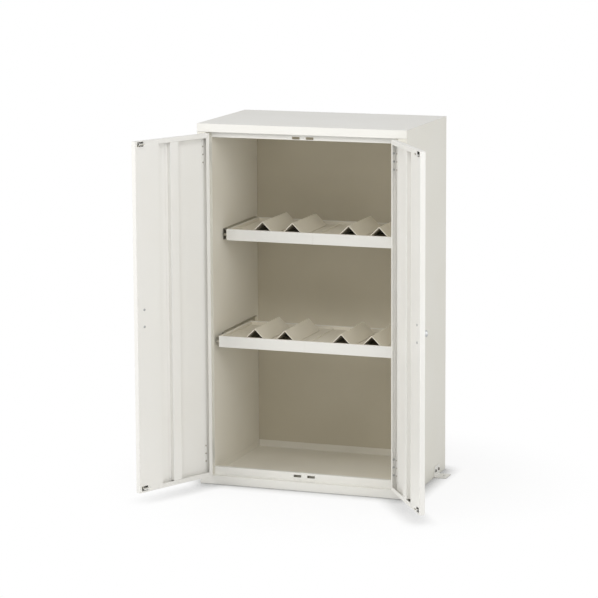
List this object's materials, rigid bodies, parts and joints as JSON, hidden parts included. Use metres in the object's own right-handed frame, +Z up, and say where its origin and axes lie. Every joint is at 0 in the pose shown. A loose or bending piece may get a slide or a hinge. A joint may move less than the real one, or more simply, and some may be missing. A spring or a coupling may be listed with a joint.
{
  "type": "chemical storage cabinet with pull-out trays",
  "caption": "Tall steel cabinet with hinged doors, lever handles that drive latch rods, and pull-out trays whose bent-plate cradles hold containers lying down, over a floor pan.",
  "frame": {"origin": "on the floor at the middle of the body's footprint, on the flat underside of the base cross member", "axes": "+X to the right seen from the front, +Y to the back, +Z up"},
  "size_m": [1.1959, 0.9272, 1.48],
  "materials": {
    "ivory_paint": "semi-gloss powder coat",
    "inner_paint": "semi-matt powder coat",
    "zinc_steel": "zinc plated",
    "chrome": "satin chrome"
  },
  "bodies": {
    "cabinet": {"top_panel": "ivory_paint", "back_panel": "inner_paint", "floor_pan": "inner_paint", "top_stop_strip": "ivory_paint", "bottom_stop_strip": "ivory_paint", "base_front_rail": "ivory_paint", "base_rear_rail": "ivory_paint", "base_cross_member": "ivory_paint", "left_side_panel": "ivory_paint", "right_side_panel": "ivory_paint", "left_liner": "inner_paint", "right_liner": "inner_paint", "base_left_rail": "ivory_paint", "base_right_rail": "ivory_paint", "left_anchor_bracket": "ivory_paint", "right_anchor_bracket": "ivory_paint", "left_frame_top_hinge_leaf": "zinc_steel", "left_frame_bottom_hinge_leaf": "zinc_steel", "right_frame_top_hinge_leaf": "zinc_steel", "right_frame_bottom_hinge_leaf": "zinc_steel", "upper_left_outer_slide": "zinc_steel", "upper_right_outer_slide": "zinc_steel", "lower_left_outer_slide": "zinc_steel", "lower_right_outer_slide": "zinc_steel"},
    "upper_tray": {"upper_tray": "ivory_paint", "upper_cradle_1": "inner_paint", "upper_cradle_2": "inner_paint", "upper_cradle_3": "inner_paint", "upper_cradle_4": "inner_paint", "upper_left_inner_slide": "zinc_steel", "upper_right_inner_slide": "zinc_steel"},
    "upper_middle_slides": {"upper_left_middle_slide": "zinc_steel", "upper_right_middle_slide": "zinc_steel"},
    "lower_tray": {"lower_tray": "ivory_paint", "lower_cradle_1": "inner_paint", "lower_cradle_2": "inner_paint", "lower_cradle_3": "inner_paint", "lower_cradle_4": "inner_paint", "lower_left_inner_slide": "zinc_steel", "lower_right_inner_slide": "zinc_steel"},
    "lower_middle_slides": {"lower_left_middle_slide": "zinc_steel", "lower_right_middle_slide": "zinc_steel"},
    "left_door": {"left_door_pan": "ivory_paint", "left_door_stiffener": "ivory_paint", "left_door_top_hinge_leaf": "zinc_steel", "left_door_bottom_hinge_leaf": "zinc_steel", "left_handle_plate": "chrome"},
    "left_handle": {"left_handle_lever": "chrome"},
    "left_upper_rod": {"left_upper_latch_rod": "zinc_steel"},
    "left_lower_rod": {"left_lower_latch_rod": "zinc_steel"},
    "right_door": {"right_door_pan": "ivory_paint", "right_door_stiffener": "ivory_paint", "right_door_top_hinge_leaf": "zinc_steel", "right_door_bottom_hinge_leaf": "zinc_steel", "right_handle_plate": "chrome"},
    "right_handle": {"right_handle_lever": "chrome"},
    "right_upper_rod": {"right_upper_latch_rod": "zinc_steel"},
    "right_lower_rod": {"right_lower_latch_rod": "zinc_steel"},
    "right_lock": {"right_lock_plug": "chrome"}
  },
  "joints": [
    {"name": "left_door_hinge", "type": "hinge", "parent": "cabinet", "child": "left_door", "pos_m": [-0.4024, -0.2782, 0.74], "axis": [0, 0, -1], "range_deg": [-115, 15]},
    {"name": "right_door_hinge", "type": "hinge", "parent": "cabinet", "child": "right_door", "pos_m": [0.4024, -0.2782, 0.74], "axis": [0, 0, 1], "range_deg": [-123.5, 6.5]},
    {"name": "left_handle_turn", "type": "hinge", "parent": "left_door", "child": "left_handle", "pos_m": [-0.5564, -0.60846, 0.74075], "axis": [-0.9063, 0.4226, 0], "range_deg": [0, 90]},
    {"name": "left_upper_rod_slide", "type": "slide", "parent": "left_door", "child": "left_upper_rod", "axis": [0, 0, 1], "range_m": [0, 0.0045]},
    {"name": "left_lower_rod_slide", "type": "slide", "parent": "left_door", "child": "left_lower_rod", "axis": [0, 0, -1], "range_m": [0, 0.0045]},
    {"name": "right_handle_turn", "type": "hinge", "parent": "right_door", "child": "right_handle", "pos_m": [0.60353, -0.58207, 0.74075], "axis": [-0.8339, -0.5519, 0], "range_deg": [0, 90]},
    {"name": "right_upper_rod_slide", "type": "slide", "parent": "right_door", "child": "right_upper_rod", "axis": [0, 0, 1], "range_m": [0, 0.0045]},
    {"name": "right_lower_rod_slide", "type": "slide", "parent": "right_door", "child": "right_lower_rod", "axis": [0, 0, -1], "range_m": [0, 0.0045]},
    {"name": "right_lock_turn", "type": "hinge", "parent": "right_door", "child": "right_lock", "pos_m": [0.60353, -0.58207, 0.83575], "axis": [-0.8339, -0.5519, 0], "range_deg": [0, 90]},
    {"name": "upper_tray_slide", "type": "slide", "parent": "cabinet", "child": "upper_tray", "axis": [0, -1, 0], "range_m": [0, 0.3]},
    {"name": "upper_middle_slide", "type": "slide", "parent": "cabinet", "child": "upper_middle_slides", "axis": [0, -1, 0], "range_m": [0, 0.15]},
    {"name": "lower_tray_slide", "type": "slide", "parent": "cabinet", "child": "lower_tray", "axis": [0, -1, 0], "range_m": [-0.096, 0.204]},
    {"name": "lower_middle_slide", "type": "slide", "parent": "cabinet", "child": "lower_middle_slides", "axis": [0, -1, 0], "range_m": [-0.048, 0.102]}
  ],
  "couplings": [
    {"joint": "left_upper_rod_slide", "follows": "left_handle_turn", "m_per_rad": 0.0028647},
    {"joint": "left_lower_rod_slide", "follows": "left_handle_turn", "m_per_rad": 0.0028647},
    {"joint": "right_upper_rod_slide", "follows": "right_handle_turn", "m_per_rad": 0.0028647},
    {"joint": "right_lower_rod_slide", "follows": "right_handle_turn", "m_per_rad": 0.0028647},
    {"joint": "upper_middle_slide", "follows": "upper_tray_slide", "ratio": 0.5},
    {"joint": "lower_middle_slide", "follows": "lower_tray_slide", "ratio": 0.5}
  ]
}
